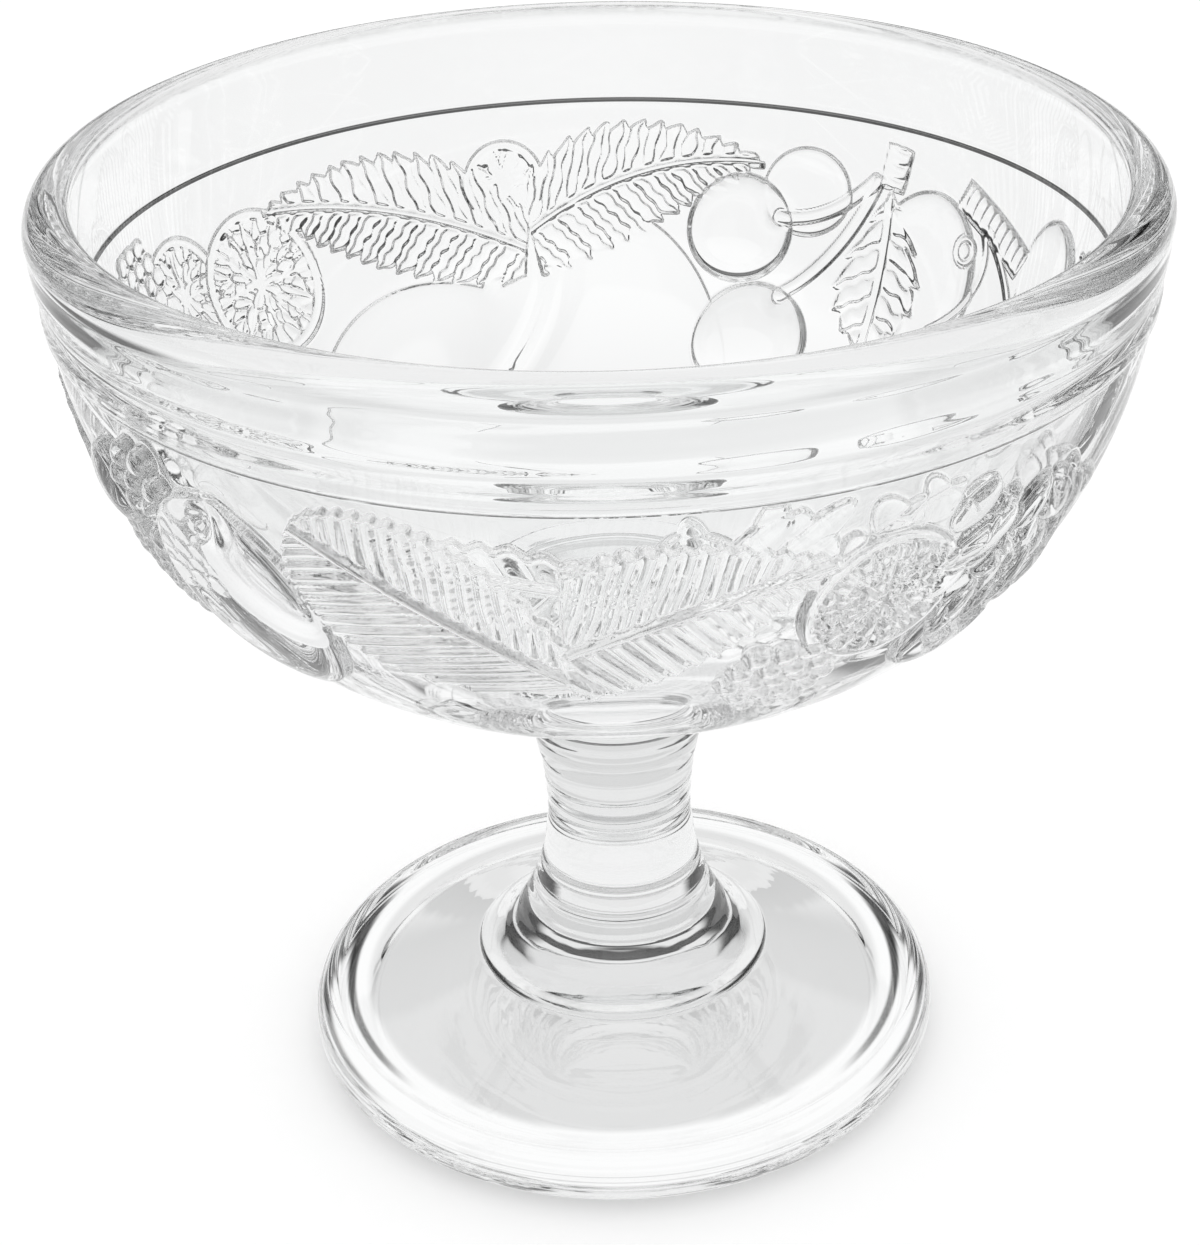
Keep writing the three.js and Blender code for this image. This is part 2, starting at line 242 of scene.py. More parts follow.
def broad_leaf(relief, tip, base, upper, lower, bend, ribs, lean_up, lean_down, widest=1.0, blunt=0.0,
               full=0.85, groove=0.34, lift=0.35, cut=None):
    """A large leaf with flat panels between sharp grooves, a cord for a midrib and a wavy outline.

    upper and lower are its half widths either side of the midrib, lean_up and lean_down lean the
    grooves towards the tip, full below 1 makes the outline rounder, and cut ends the leaf at an
    azimuth where it meets another."""
    u, v, length, run = relief.lengthwise(tip, base)
    t = np.clip(u / length + 0.5, 0.0, 1.0)
    v = v * (1.0 if run > 0 else -1.0) - bend * (1 - (2 * t - 1) ** 2)
    above = v > 0
    width = np.sin(math.pi * (blunt + (1 - blunt) * t) ** widest) ** full * np.where(above, upper, lower)
    lean = np.where(above, lean_up, lean_down)
    pitch = length / ribs
    from_base = u + length / 2
    wave = 0.05 * np.sin(0.7 * from_base + 0.5 * v) + 0.4 * above
    phase = (from_base - lean * np.abs(v)) / pitch + wave
    away = np.abs(phase - np.round(phase)) * pitch / np.sqrt(1 + lean**2)
    tooth = (from_base - lean * width) / pitch + wave
    edge = np.minimum(width + 0.3 * np.sin(2 * math.pi * tooth) - np.abs(v), length / 2 - np.abs(u))
    if cut is not None:
        beyond = 1.0 if tip[0] > cut else -1.0
        sweep = (relief.azimuth - cut + 180.0) % 360.0 - 180.0
        edge = np.minimum(edge, beyond * np.radians(sweep) * relief.radius)
    panel = 1 - np.exp(-((away / 0.24) ** 2)) + 0.5 * (1 - np.exp(-((away / 0.7) ** 2)))
    rim = np.clip(1 - edge / 0.7, 0.0, 1.0)
    cord = np.sqrt(np.clip(1 - (v / 0.6) ** 2, 0.0, 1.0))
    top = lift + groove * panel * np.clip((np.abs(v) - 0.4) / 0.5, 0.0, 1.0) * (1 - rim) + 0.45 * rim
    relief.lay(edge, np.maximum(top, cord * (lift + 1.5 * groove + 0.35)), 0.15)


def citrus(relief, azimuth, drop, radius, rng, segments=8, cells=0.95, wall=0.5, swell=0.65):
    """A cut citrus fruit: rind, pith walls between the segments, and cells of pulp."""
    u, v = relief.local(azimuth, drop)
    rho = np.hypot(u, v)
    theta = np.arctan2(v, u)
    nearest = np.full(rho.shape, 9.0)
    second = np.full(rho.shape, 9.0)
    for _ in range(int(radius**2 * cells)):
        r = (radius - 1.0) * math.sqrt(rng.uniform(0.03, 1.0))
        a = rng.uniform(0.0, 2 * math.pi)
        du, dv = u - r * math.cos(a), v - r * math.sin(a)
        outward, around = du * math.cos(a) + dv * math.sin(a), dv * math.cos(a) - du * math.sin(a)
        span = np.hypot(outward / 1.3, around / 0.65)
        second = np.minimum(second, np.maximum(nearest, span))
        nearest = np.minimum(nearest, span)
    top = 0.2 + swell * np.sqrt(np.clip(2.2 * (1 - nearest / second), 0.0, 1.0))
    spoke = np.abs(((theta * segments / (2 * math.pi) + 0.5) % 1.0) - 0.5) * 2 * math.pi / segments * rho
    pith = np.maximum(np.exp(-((spoke / wall) ** 4)), np.exp(-((rho / (3.2 * wall)) ** 4)))
    top = top * (1 - pith) + 0.75 * pith
    rind = np.clip((rho - radius + 1.5) / 0.4, 0.0, 1.0)
    skin = 0.4 + 0.5 * np.sqrt(np.clip(1 - ((rho - radius + 0.65) / 0.75) ** 2, 0.0, 1.0))
    relief.lay(radius - rho, top * (1 - rind) + skin * rind, 0.2)


def berries(relief, azimuth, drop, across, tall, grain, rng, rise=0.75):
    """A cluster of small round berries inside an oval."""
    u, v = relief.local(azimuth, drop)
    rows = int(tall / grain) + 1
    for j in range(-rows, rows + 1):
        for i in range(-rows, rows + 1):
            x = (i + 0.5 * (j % 2)) * grain * 1.75 + rng.uniform(-0.2, 0.2)
            y = j * grain * 1.5 + rng.uniform(-0.2, 0.2)
            if (x / across) ** 2 + (y / tall) ** 2 > 1.0:
                continue
            rho = np.hypot(u - x, v - y) / grain
            top = 0.3 + rise * np.sqrt(np.clip(1 - rho**2, 0.0, 1.0))
            relief.lay((1 - rho) * grain, top, 0.2)


def foliage(relief, azimuths, drops, count, rise, rng):
    """Small leaves that overlap in a patch between two azimuths and two drops."""
    for _ in range(count):
        azimuth, drop = rng.uniform(*azimuths), rng.uniform(*drops)
        across, tall = rng.uniform(1.2, 2.3), rng.uniform(2.6, 4.6)
        fruit(relief, azimuth, drop, across, tall, rise * rng.uniform(0.6, 1.2),
              turn=rng.uniform(-70.0, 70.0), lift=0.2, carry=0.15)


def tendril_loop(relief, azimuth, drop, radius, width):
    """The curled end of a tendril."""
    u, v = relief.local(azimuth, drop)
    distance = np.abs(np.hypot(u, v) - radius)
    relief.lay(width - distance, 0.7 * np.sqrt(np.clip(1 - (distance / width) ** 2, 0.0, 1.0)), 0.6)


def twig(relief, start, end, half_width, rings):
    """A short cut twig with rings round its bark."""
    u, v, length, _ = relief.lengthwise(end, start)
    edge = np.minimum(half_width - np.abs(v), length / 2 - np.abs(u))
    bow = np.clip(1 - (v / half_width) ** 2, 0.0, 1.0)
    ring = np.sin(math.pi * (((u / length + 0.5) * rings + 0.35 * bow) % 1.0)) ** 0.7
    relief.lay(edge, 0.4 + 0.45 * np.sqrt(bow) + 0.3 * ring * bow)


def peach(relief, places, crease, fold):
    """A large smooth fruit made of round swellings that run together, one folding over the other."""
    total = np.zeros(relief.height.shape)
    edge = np.full(relief.height.shape, -1e9)
    for azimuth, drop, across, tall, rise in places:
        u, v = relief.local(azimuth, drop)
        rho = np.hypot(u / across, v / tall)
        total = total + (rise * np.sqrt(np.clip(1 - rho**2, 0.0, 1.0))) ** 4
        edge = np.maximum(edge, (1 - rho) * min(across, tall))
    relief.lay(edge, 0.4 + total**0.25, 0.0)
    middle = crease[1]
    u, v = relief.local(*middle)
    scale = np.interp(middle[1], relief.drop[:, 0], relief.radius[:, 0])
    line = bezier([(math.radians(a - middle[0]) * scale, middle[1] - d) for a, d in crease], 120)
    distance = np.full(u.shape, 1e9)
    side = np.zeros(u.shape)
    for a, b in zip(line, line[1:]):
        away = np.hypot(u - a[0], v - a[1])
        nearer = away < distance
        turn = (b[0] - a[0]) * (v - a[1]) - (b[1] - a[1]) * (u - a[0])
        side = np.where(nearer, np.sign(turn), side)
        distance = np.where(nearer, away, distance)
    signed = distance * side
    swell = 0.5 * (1 + np.tanh(signed / 1.2)) * np.exp(-((signed / 5.5) ** 2))
    relief.height = relief.height + fold * (swell - 0.5 * np.exp(-(((signed + 1.6) / 2.0) ** 2)))


def press_garland(relief):
    """All the fruit and leaves, back wall first, by azimuth and drop below the ledge."""
    rng = np.random.default_rng(7)
    # Back wall, seen through the open bowl
    peach(relief, [(92.0, 31.0, 15.5, 18.5, 1.0), (118.0, 37.0, 19.0, 17.0, 0.9)],
          [(99.0, 14.0), (95.5, 23.0), (106.0, 33.0)], 1.1)
    citrus(relief, 103.0, 9.4, 4.8, rng, segments=6)
    citrus(relief, 155.5, 12.0, 7.0, rng, cells=1.3, wall=0.3)
    citrus(relief, 141.4, 14.5, 8.6, rng, cells=1.3, wall=0.3)
    berries(relief, 164.5, 8.0, 5.0, 5.0, 1.3, rng)
    leaf(relief, (68.1, 7.1), (99.5, 15.5), 6.8, 2.4, ribs=12, widest=0.7, blunt=0.14)
    leaf(relief, (138.1, 7.1), (101.5, 17.6), 6.9, 1.6, ribs=14, blunt=0.1)
    fruit(relief, 62.0, 9.8, 5.6, 5.2, 1.1)
    fruit(relief, 42.5, 17.5, 8.6, 11.0, 1.6)
    fruit(relief, 66.7, 28.3, 7.2, 7.0, 2.3, lift=0.5)
    fruit(relief, 70.9, 15.0, 6.4, 6.5, 2.3, lift=0.5)
    dimple(relief, 66.3, 12.8, 1.6, 0.7)
    dimple(relief, 63.6, 23.0, 1.6, 0.7)
    relief.ridge([(65.6, 13.2), (59.0, 13.6), (52.2, 7.0)], 0.9, 0.8)
    relief.ridge([(63.2, 22.4), (56.0, 17.5), (51.8, 7.2)], 0.9, 0.8)
    leaf(relief, (47.9, 27.0), (50.3, 7.2), 5.2, 0.0, ribs=6, widest=1.5)
    twig(relief, (50.0, 7.6), (49.4, 2.6), 1.8, 3)
    fruit(relief, 18.5, 10.5, 5.6, 7.0, 1.4)
    relief.ridge([(34.0, 8.6), (30.0, 13.0), (32.0, 18.0), (38.0, 22.0)], 0.5, 0.7)
    relief.ridge([(33.4, 8.6), (29.0, 11.0), (25.0, 15.0)], 0.5, 0.7)
    tendril_loop(relief, 36.5, 11.9, 1.4, 0.45)
    twig(relief, (38.6, 5.6), (25.0, 10.4), 1.9, 9)
    # Left side
    fruit(relief, 178.0, 22.0, 8.0, 8.5, 0.5, lift=0.2)
    fruit(relief, 196.0, 25.0, 6.5, 7.0, 0.5, lift=0.2)
    broad_leaf(relief, (172.0, 6.0), (200.0, 14.0), 5.0, 6.0, 1.0, 11, 0.6, 0.6, groove=0.15, lift=0.15)
    fruit(relief, 212.5, 8.5, 4.0, 4.5, 1.5)
    berries(relief, 214.0, 18.0, 5.0, 5.0, 1.4, rng)
    # Front wall, seen from outside
    broad_leaf(relief, (248.0, 5.5), (273.5, 9.5), 3.5, 9.0, 0.0, 9, 0.6, 0.6, full=0.5, groove=0.1,
               lift=0.15)
    foliage(relief, (276.0, 304.0), (3.5, 9.0), 22, 0.4, rng)
    citrus(relief, 297.0, 13.2, 7.8, rng, cells=1.7, wall=0.25, swell=1.0)
    broad_leaf(relief, (239.0, 4.2), (266.5, 21.0), 7.3, 10.5, 1.0, 16, 0.73, 0.93, widest=1.25,
               full=0.5)
    broad_leaf(relief, (291.5, 7.4), (264.5, 16.2), 8.7, 7.8, 1.2, 13, 0.67, 0.36, blunt=0.4, cut=265.2)
    berries(relief, 287.5, 22.5, 6.0, 4.5, 1.3, rng)
    berries(relief, 219.5, 5.5, 5.0, 3.2, 1.5, rng, rise=1.6)
    fruit(relief, 229.0, 16.4, 9.7, 12.0, 0.7, turn=6.0, lift=0.6, carry=0.0, flat=6)
    dimple(relief, 229.5, 6.2, 1.8, 1.0)
    # Right side
    fruit(relief, 310.0, 22.0, 6.0, 6.5, 1.0)
    foliage(relief, (318.0, 328.0), (5.0, 22.0), 16, 0.4, rng)
    foliage(relief, (304.0, 317.0), (5.0, 22.0), 24, 1.1, rng)
    fruit(relief, 356.0, 20.0, 7.0, 8.0, 0.5, lift=0.2)
    broad_leaf(relief, (372.0, 5.0), (352.0, 12.0), 4.0, 4.6, 1.0, 9, 0.6, 0.6, groove=0.15, lift=0.1)


def press_lines(azimuth, up, height):
    """Soft lines that the press leaves on the band's front, by azimuth and height over the ledge."""
    rng = np.random.default_rng(11)
    facing = np.cos(np.radians(azimuth - 270.0))
    front = np.clip((facing + 0.2) / 0.6, 0.0, 1.0)
    sunk = np.zeros((len(up), azimuth.shape[1]))
    for _ in range(PRESS_LINES):
        place = rng.uniform(0.2, height)
        deep, wide = rng.uniform(*PRESS_LINE_DEPTH), rng.uniform(*PRESS_LINE_WIDTH)
        drift = rng.uniform(-PRESS_LINE_DRIFT, PRESS_LINE_DRIFT)
        start, swing = rng.uniform(0.0, 360.0, 2)
        fade = rng.integers(1, 4)
        line = place + drift * np.sin(np.radians(2 * azimuth + start))
        strength = 0.5 + 0.5 * np.sin(np.radians(fade * azimuth + swing))
        sunk = sunk + deep * strength * np.exp(-(((up[:, None] - line) / wide) ** 2))
    return -front * sunk


# Meshes

def revolved(name, profile, caps, columns, offset=None):
    """A closed mesh turned round +Z from a profile that starts and ends on the axis.

    offset gives a height along the outline's normal for rows of the profile, as {row: heights}.
    caps lists the profile's spans that are joint faces, as (first row, last row)."""
    profile = np.asarray(profile, float)
    rows = profile[1:-1]
    angles = np.radians(np.linspace(0.0, 360.0, columns, endpoint=False))
    tangent = np.gradient(profile, axis=0)[1:-1]
    normal = np.stack([tangent[:, 1], -tangent[:, 0]], 1)
    normal = normal / np.linalg.norm(normal, axis=1)[:, None]
    radius = np.repeat(rows[:, :1], columns, 1)
    height = np.repeat(rows[:, 1:], columns, 1)
    if offset is not None:
        radius = radius + normal[:, :1] * offset[1:-1]
        height = height + normal[:, 1:] * offset[1:-1]
    ring = np.stack([radius * np.cos(angles), radius * np.sin(angles), height], 2).reshape(-1, 3)
    low, high = len(ring), len(ring) + 1
    points = np.concatenate([ring, [[0, 0, profile[0, 1]], [0, 0, profile[-1, 1]]]]) * MM
    i = np.arange(columns)
    j = (i + 1) % columns
    last = (len(rows) - 1) * columns
    square = np.stack([i, j, columns + j, columns + i], 1)
    quads = np.concatenate([k * columns + square for k in range(len(rows) - 1)])
    fan_low = np.stack([np.full(columns, low), j, i], 1)
    fan_high = np.stack([np.full(columns, high), last + i, last + j], 1)
    loops = np.concatenate([quads.ravel(), fan_low.ravel(), fan_high.ravel()]).astype(np.int32)
    sizes = np.concatenate([np.full(len(quads), 4), np.full(2 * columns, 3)]).astype(np.int32)
    starts = np.concatenate([[0], np.cumsum(sizes)[:-1]]).astype(np.int32)
    mesh = bpy.data.meshes.new(name)
    mesh.vertices.add(len(points))
    mesh.vertices.foreach_set("co", points.astype(np.float32).ravel())
    mesh.loops.add(len(loops))
    mesh.loops.foreach_set("vertex_index", loops)
    mesh.polygons.add(len(sizes))
    mesh.polygons.foreach_set("loop_start", starts)
    span = np.concatenate([np.repeat(np.arange(1, len(rows)), columns),
                           np.zeros(columns, int), np.full(columns, len(rows))])
    joint = np.zeros(len(sizes), bool)
    for first, final in caps:
        joint = joint | ((span >= first) & (span < final))
    mesh.polygons.foreach_set("material_index", joint.astype(np.int32))
    mesh.polygons.foreach_set("use_smooth", ~joint)
    mesh.update(calc_edges=True)
    mesh.validate()
    piece = bpy.data.objects.new(name, mesh)
    bpy.context.scene.collection.objects.link(piece)
    return piece


def make_bowl():
    """The bowl: pressed relief on the belly, ledge, plain band, lip and smooth inside."""
    ledge_z = BOWL_HEIGHT - BAND_HEIGHT
    start = np.array([STEM_TOP_RADIUS, 0.0])
    tilt = math.radians(LEDGE_TILT)
    ledge_step = LEDGE_FLAT * math.sin(tilt) + LEDGE_ROUND * (1 - math.cos(tilt))
    end = np.array([RIM_RADIUS - BAND_TAPER - ledge_step, ledge_z - LEDGE_DROP])
    belly_low = reach(start, BELLY_LOW_HANDLE, BELLY_LOW_ANGLE)
    belly_high = reach(end, -BELLY_HIGH_HANDLE, BELLY_HIGH_ANGLE)
    belly = bezier([start, belly_low, belly_high, end], BELLY_STEPS)
    length = along(belly)
    split = np.searchsorted(length, length[-1] - RELIEF_DEPTH)
    lower = evenly(belly[: split + 1], SMOOTH_ROW)
    upper = evenly(belly[split:], RELIEF_ROW)
    lip_outer = (RIM_RADIUS - LIP_OUTER_ROUND, BOWL_HEIGHT - LIP_OUTER_ROUND)
    inside_radius = RIM_RADIUS - RIM_WALL
    lip_inner = (inside_radius + LIP_INNER_ROUND, BOWL_HEIGHT - LIP_INNER_ROUND)
    flat_end = reach(end, LEDGE_FLAT, 90 - LEDGE_TILT)
    round_centre = reach(flat_end, LEDGE_ROUND, 180 - LEDGE_TILT)
    rounded = arc(round_centre, LEDGE_ROUND, -LEDGE_TILT, 0, 20)
    corner = np.concatenate([bezier([end, flat_end], 6), rounded[1:]])
    band_high = np.array([RIM_RADIUS, lip_outer[1]])
    near_corner = corner[-1] + (band_high - corner[-1]) * np.array([[0.02], [0.06], [0.12]])
    ledge = np.concatenate([corner, near_corner])
    band = evenly(np.array([ledge[-1], band_high]), BAND_ROW)
    shoulder = (inside_radius, belly_high[1] + INSIDE_SHOULDER_LIFT)
    inside_floor = (belly_low[0] - INSIDE_FLOOR_INSET, FLOOR_THICKNESS)
    inside = bezier([(inside_radius, lip_inner[1]), shoulder, inside_floor, (0.0, FLOOR_THICKNESS)],
                    INSIDE_STEPS)
    parts = [
        np.array([[0.0, 0.0]]), lower, upper[1:], ledge[1:], band[1:],
        arc(lip_outer, LIP_OUTER_ROUND, 0, 90, 16)[1:], arc(lip_inner, LIP_INNER_ROUND, 90, 180, 10),
        evenly(inside, SMOOTH_ROW)[1:],
    ]
    profile = np.concatenate(parts)
    first = len(lower)
    drop = LEDGE_DROP + along(upper[::-1])[::-1]
    relief = Relief(drop[::-1], upper[::-1, 0])
    press_garland(relief)
    fade = np.clip((RELIEF_DEPTH - relief.drop) / RELIEF_FADE, 0.0, 1.0)
    fade = fade**2 * (3 - 2 * fade)
    offset = np.zeros((len(profile), COLUMNS))
    offset[first : first + len(upper)] = (relief.height * fade)[::-1]
    band_first = first + len(upper) + len(ledge) - 1
    up = band[1:, 1] - band[0, 1]
    offset[band_first : band_first + len(up)] = press_lines(relief.azimuth, up, up[-1])
    profile = profile + [0.0, BOWL_Z]
    return revolved("pressed_bowl", profile, [(0, 1)], COLUMNS, offset)


def make_stem():
    """The solid waisted stem."""
    waist = (STEM_WAIST_RADIUS, STEM_WAIST_HEIGHT)
    toe = arc((STEM_BASE_RADIUS - STEM_TOE_ROUND, 0.0), STEM_TOE_ROUND, 0, STEM_TOE_ANGLE, 12)
    slope = math.tan(math.radians(90 - STEM_TOE_ANGLE))
    corner = (STEM_WAIST_RADIUS, toe[-1][1] + slope * (toe[-1][0] - STEM_WAIST_RADIUS))
    low_handle = toe[-1] + (np.array(corner) - toe[-1]) * FLARE_LOW_HANDLE
    high_handle = (STEM_WAIST_RADIUS, STEM_WAIST_HEIGHT - FLARE_HIGH_HANDLE)
    lower = np.concatenate([toe, bezier([toe[-1], low_handle, high_handle, waist], STEM_STEPS)[1:]])
    upper = bezier([waist, (STEM_WAIST_RADIUS, STEM_HEIGHT - STEM_TOP_CORNER_DROP),
                    (STEM_TOP_RADIUS, STEM_HEIGHT)], STEM_STEPS)
    side = evenly(np.concatenate([lower, upper[1:]]), STEM_ROW)
    rng = np.random.default_rng(3)
    length = along(side)
    tangent = np.gradient(side, axis=0)
    normal = np.stack([tangent[:, 1], -tangent[:, 0]], 1) / np.hypot(*tangent.T)[:, None]
    for start in np.arange(STEM_RING_START, length[-1] - STEM_RING_PITCH, STEM_RING_PITCH):
        place = start + rng.uniform(-STEM_RING_SHIFT, STEM_RING_SHIFT)
        deep, wide = rng.uniform(*STEM_RING_DEPTH), rng.uniform(*STEM_RING_WIDTH)
        side = side - normal * deep * np.exp(-(((length - place) / wide) ** 2))[:, None]
    side[:, 1] = np.clip(side[:, 1], JOINT_GAP, STEM_HEIGHT - JOINT_GAP)
    bottom, top = [0.0, JOINT_GAP], [0.0, STEM_HEIGHT - JOINT_GAP]
    profile = np.concatenate([[bottom], side, [top]]) + [0.0, STEM_Z]
    return revolved("stem_glass", profile, [(0, 1), (len(side), len(side) + 1)], PLAIN_COLUMNS)


def make_foot():
    """The foot: sloping plate, rolled edge and hollow underside."""
    centre = (FOOT_RADIUS - FOOT_EDGE_ROUND, FOOT_EDGE_ROUND)
    edge = arc(centre, FOOT_EDGE_ROUND, -90, FOOT_CROWN_START, 110)
    crown_centre = reach(edge[-1], -FOOT_CROWN_ROUND, FOOT_CROWN_START)
    crown = arc(crown_centre, FOOT_CROWN_ROUND, FOOT_CROWN_START, FOOT_CROWN_END, 30)
    rng = np.random.default_rng(5)
    outward = np.radians(np.linspace(-90, FOOT_CROWN_START, len(edge)))
    for place in np.arange(FOOT_DENT_START, FOOT_CROWN_START, FOOT_DENT_PITCH):
        turn = np.degrees(outward) - place - rng.uniform(-FOOT_DENT_SHIFT, FOOT_DENT_SHIFT)
        deep, wide = rng.uniform(*FOOT_DENT_DEPTH), rng.uniform(*FOOT_DENT_WIDTH)
        dent = deep * np.exp(-((turn / wide) ** 2))
        edge = edge - dent[:, None] * np.stack([np.cos(outward), np.sin(outward)], 1)
    hollow_radius = centre[0] - FOOT_REST_WIDTH
    hollow = bezier([(0.0, FOOT_HOLLOW_DEPTH), (hollow_radius / 2, FOOT_HOLLOW_DEPTH),
                     (hollow_radius - FOOT_HOLLOW_STEP, FOOT_HOLLOW_STEP)], 24)
    pad = np.array([STEM_BASE_RADIUS, FOOT_HEIGHT])
    plate_edge = crown[-1] - [FOOT_PLATE_INSET, FOOT_PLATE_DROP]
    valley = bezier([crown[-1], crown[-1] - [FOOT_VALLEY_INSET, FOOT_VALLEY_DEPTH], plate_edge], 16)
    middle = (plate_edge + pad) / 2 - [0.0, FOOT_PLATE_SAG]
    plate = bezier([plate_edge, middle, pad], 30)
    profile = np.concatenate([hollow, [[hollow_radius, 0.0]], edge, crown[1:], valley[1:], plate[1:],
                              [[0.0, FOOT_HEIGHT]]])
    return revolved("foot_glass", profile, [(len(profile) - 2, len(profile) - 1)], PLAIN_COLUMNS)


# Materials

GLASS_IOR = 1.5
JOINT_IOR = 1.0
RED_LOSS = 0.005


def scaled(nodes, links, source, factor):
    """A value times a factor."""
    node = nodes.new("ShaderNodeMath")
    node.operation = "MULTIPLY"
    node.inputs[1].default_value = factor
    links.new(source, node.inputs[0])
    return node.outputs[0]


def clear_material(name, colour, ior):
    """A clear material without roughness, and its shader."""
    material = bpy.data.materials.new(name)
    material.use_nodes = True
    shader = material.node_tree.nodes["Principled BSDF"]
    shader.inputs["Base Color"].default_value = (*colour, 1.0)
    shader.inputs["Roughness"].default_value = 0.0
    shader.inputs["IOR"].default_value = ior
    shader.inputs["Transmission Weight"].default_value = 1.0
    return material, shader


def glass_material(name, tint, along_rim, across_rim, depth):
    """Clear fire-polished glass, with the faint waviness that a press mould leaves.

    The waves have a fineness along the rim and one across it, per metre."""
    material, shader = clear_material(name, (tint - RED_LOSS, tint, tint), GLASS_IOR)
    nodes, links = material.node_tree.nodes, material.node_tree.links
    place = nodes.new("ShaderNodeTexCoord")
    split = nodes.new("ShaderNodeSeparateXYZ")
    level = nodes.new("ShaderNodeCombineXYZ")
    radius = nodes.new("ShaderNodeVectorMath")
    radius.operation = "LENGTH"
    spread = nodes.new("ShaderNodeCombineXYZ")
    noise = nodes.new("ShaderNodeTexNoise")
    noise.noise_dimensions = "4D"
    noise.inputs["Scale"].default_value = 1.0
    noise.inputs["Detail"].default_value = 1.0
    bump = nodes.new("ShaderNodeBump")
    bump.inputs["Strength"].default_value = 1.0
    bump.inputs["Distance"].default_value = depth
    links.new(place.outputs["Object"], split.inputs["Vector"])
    for axis in "XY":
        links.new(split.outputs[axis], level.inputs[axis])
        links.new(scaled(nodes, links, split.outputs[axis], along_rim), spread.inputs[axis])
    links.new(level.outputs["Vector"], radius.inputs[0])
    links.new(scaled(nodes, links, radius.outputs["Value"], across_rim), spread.inputs["Z"])
    links.new(spread.outputs["Vector"], noise.inputs["Vector"])
    links.new(scaled(nodes, links, split.outputs["Z"], across_rim), noise.inputs["W"])
    links.new(noise.outputs["Fac"], bump.inputs["Height"])
    links.new(bump.outputs["Normal"], shader.inputs["Normal"])
    return material


def joint_material():
    """The fused faces inside the glass: light passes straight through them."""
    return clear_material("fused_joint", (1.0, 1.0, 1.0), JOINT_IOR)[0]


# Stage: each zone that the glass sees is a start, an end, and the levels before and after them; the
# floor's zones are painted light and painted shade

FLOOR_SIZE = 1.5
FLOOR_GREY = (0.42, 0.42, 0.42, 1.0)
FLOOR_CENTRE = (0.0, 0.006, 0.0)
# Painted shade on the floor that the glass sees: darker to the sides, far and near, round a painted pool
# of light
FLOOR_SIDES_PAINTED_SHADE = (0.19, 0.26, 1.0, 0.08)
FLOOR_FAR_PAINTED_SHADE = (0.55, 0.75, 1.0, 0.12)
FLOOR_NEAR_PAINTED_SHADE = (-0.15, -0.1, 0.2, 1.0)
# Painted shadow on the floor under the foot
FLOOR_UNDER_PAINTED_SHADOW = (0.028, 0.030, 0.76, 1.0)
# Painted soft shadow on the floor round the glass
FLOOR_SHADE_START = (0.065, 0.085, 1.0, 0.87)
FLOOR_SHADE_END = (0.12, 0.2, 0.87, 1.0)
# These lift the painted shadow under the foot for rays that have passed through glass more than twice
# near the middle
DEEP_VIEW = (2.4, 2.6, 0.0, 1.0)
DEEP_REACH = (0.018, 0.024, 1.0, 0.0)
# Painted contact shadow in a ring at the foot's left and right sides
FOOT_FLANK_PAINTED_SHADOW = (0.022, 0.029, 0.0, 1.0)
FOOT_RING_PAINTED_SHADOW_START = (0.0312, 0.0322, 0.0, 0.9)
FOOT_RING_PAINTED_SHADOW_END = (0.0328, 0.0338, 1.0, 0.0)
REVERSED = (0.0, 1.0, 1.0, 0.0)
# Painted contact shadow: the floor's white glow dims where occlusion finds the glass close by
CONTACT_REACH = 0.009
CONTACT_PAINTED_SHADOW = (0.2, 1.0, 0.42, 0.64)
# Painted reflection: what the glass first mirrors is raised to this level
PAINTED_REFLECTION_DEPTH = (1.4, 1.6, 0.85, 0.0)
WORLD_SIDES = (0.32, 0.42, 1.0, 0.06)
WORLD_LOW = (-0.1, 0.0, 0.5, 0.06)
WORLD_BEHIND = (0.1, 0.16, 0.0, 0.95)
WORLD_TOP = (0.52, 0.6, 0.0, 0.95)
WORLD_NEAR = (-0.6, -0.1, 0.45, 1.0)


def map_range(nodes, links, source, zone):
    """A smooth step of a value from one level to another over a zone."""
    node = nodes.new("ShaderNodeMapRange")
    node.interpolation_type = "SMOOTHSTEP"
    for name, value in zip(("From Min", "From Max", "To Min", "To Max"), zone):
        node.inputs[name].default_value = value
    links.new(source, node.inputs["Value"])
    return node.outputs["Result"]


def combine(nodes, links, operation, *sources):
    """A math node on links."""
    node = nodes.new("ShaderNodeMath")
    node.operation = operation
    for source, socket in zip(sources, node.inputs):
        links.new(source, socket)
    return node.outputs[0]


def glass_sees(nodes, links):
    """One for a ray that comes to the camera through or off the glass, and nought for any other."""
    path = nodes.new("ShaderNodeLightPath")
    mirrored, through = path.outputs["Is Glossy Ray"], path.outputs["Is Transmission Ray"]
    either = combine(nodes, links, "MAXIMUM", mirrored, through)
    soft = nodes.new("ShaderNodeMath")
    soft.operation = "LESS_THAN"
    soft.inputs[1].default_value = 0.5
    links.new(path.outputs["Diffuse Depth"], soft.inputs[0])
    return combine(nodes, links, "MULTIPLY", either, soft.outputs[0])


def with_bright_reflections(nodes, links, level):
    """Painted reflection: the level, raised towards white only for what the outer surface of the glass
    mirrors first.
    """
    path = nodes.new("ShaderNodeLightPath")
    first = map_range(nodes, links, path.outputs["Ray Depth"], PAINTED_REFLECTION_DEPTH)
    mirrored = combine(nodes, links, "MULTIPLY", first, path.outputs["Is Glossy Ray"])
    return combine(nodes, links, "MAXIMUM", level, mirrored)


